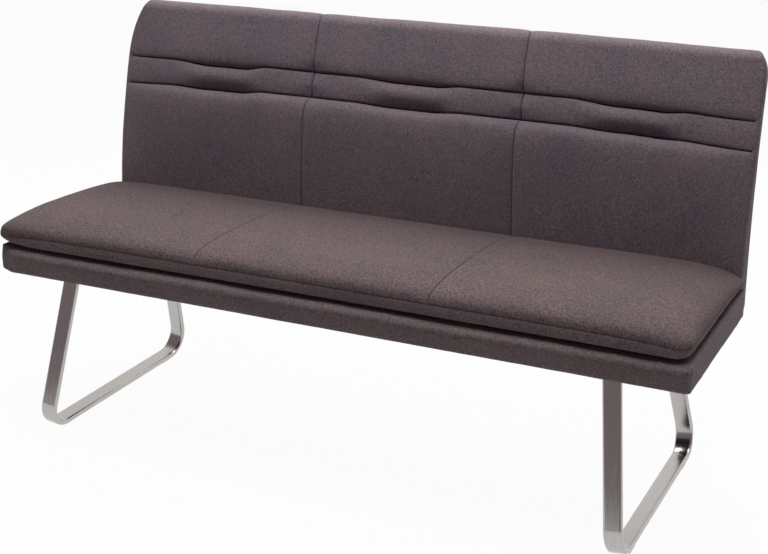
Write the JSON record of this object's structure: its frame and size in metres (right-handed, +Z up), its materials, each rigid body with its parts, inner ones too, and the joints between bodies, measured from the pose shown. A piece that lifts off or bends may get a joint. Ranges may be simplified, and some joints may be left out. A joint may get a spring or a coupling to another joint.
{
  "type": "upholstered dining bench",
  "caption": "Fabric-upholstered dining bench with a leaning padded back, a crowned seat cushion on a boxed seat base and bent flat-tube steel leg loops.",
  "frame": {"origin": "on the floor, under the middle of the bench's overall box", "axes": "+X along the bench to the right of a person who looks at its front, -Y out of the front of the seat, +Z up"},
  "size_m": [1.55, 0.6118, 0.8909],
  "materials": {
    "upholstery_fabric": "fine dark taupe melange weave",
    "lining_cloth": "black spunbonded lining",
    "webbing": "woven elastic webbing",
    "foam": "open-cell upholstery foam and wadding",
    "board": "bent plywood",
    "frame_wood": "planed softwood",
    "leg_steel": "finely brushed stainless",
    "plate_steel": "black powder coat",
    "fastener_steel": "zinc plated",
    "glide_plastic": "matt black"
  },
  "bodies": {
    "root": {"back_band_panel_centre": "upholstery_fabric", "back_band_panel_left": "upholstery_fabric", "back_band_panel_right": "upholstery_fabric", "back_barrel_nuts": "fastener_steel", "back_board": "board", "back_bolt_washers": "fastener_steel", "back_bolts": "fastener_steel", "back_bottom_rail": "frame_wood", "back_foam": "foam", "back_left_centre_upright": "frame_wood", "back_left_gusset": "upholstery_fabric", "back_left_upright": "frame_wood", "back_lower_panel_centre": "upholstery_fabric", "back_lower_panel_left": "upholstery_fabric", "back_lower_panel_right": "upholstery_fabric", "back_mount_rail": "frame_wood", "back_rear_cover": "upholstery_fabric", "back_right_centre_upright": "frame_wood", "back_right_gusset": "upholstery_fabric", "back_right_upright": "frame_wood", "back_top_rail": "frame_wood", "back_underside_cloth": "lining_cloth", "back_upper_panel_centre": "upholstery_fabric", "back_upper_panel_left": "upholstery_fabric", "back_upper_panel_right": "upholstery_fabric", "left_front_glide": "glide_plastic", "left_leg_loop": "leg_steel", "left_leg_plate": "plate_steel", "left_plate_screws": "fastener_steel", "left_rear_glide": "glide_plastic", "right_front_glide": "glide_plastic", "right_leg_loop": "leg_steel", "right_leg_plate": "plate_steel", "right_plate_screws": "fastener_steel", "right_rear_glide": "glide_plastic", "seat_base_cover": "upholstery_fabric", "seat_base_padding": "foam", "seat_centre_rail": "frame_wood", "seat_corner_blocks": "frame_wood", "seat_cushion_border": "upholstery_fabric", "seat_cushion_foam": "foam", "seat_cushion_top_centre": "upholstery_fabric", "seat_cushion_top_left": "upholstery_fabric", "seat_cushion_top_right": "upholstery_fabric", "seat_cushion_underside_cloth": "lining_cloth", "seat_dust_cover": "lining_cloth", "seat_front_rail": "frame_wood", "seat_left_cross_rail": "frame_wood", "seat_left_end_rail": "frame_wood", "seat_rear_rail": "frame_wood", "seat_right_cross_rail": "frame_wood", "seat_right_end_rail": "frame_wood", "seat_webbing_straps": "webbing"}
  },
  "joints": []
}
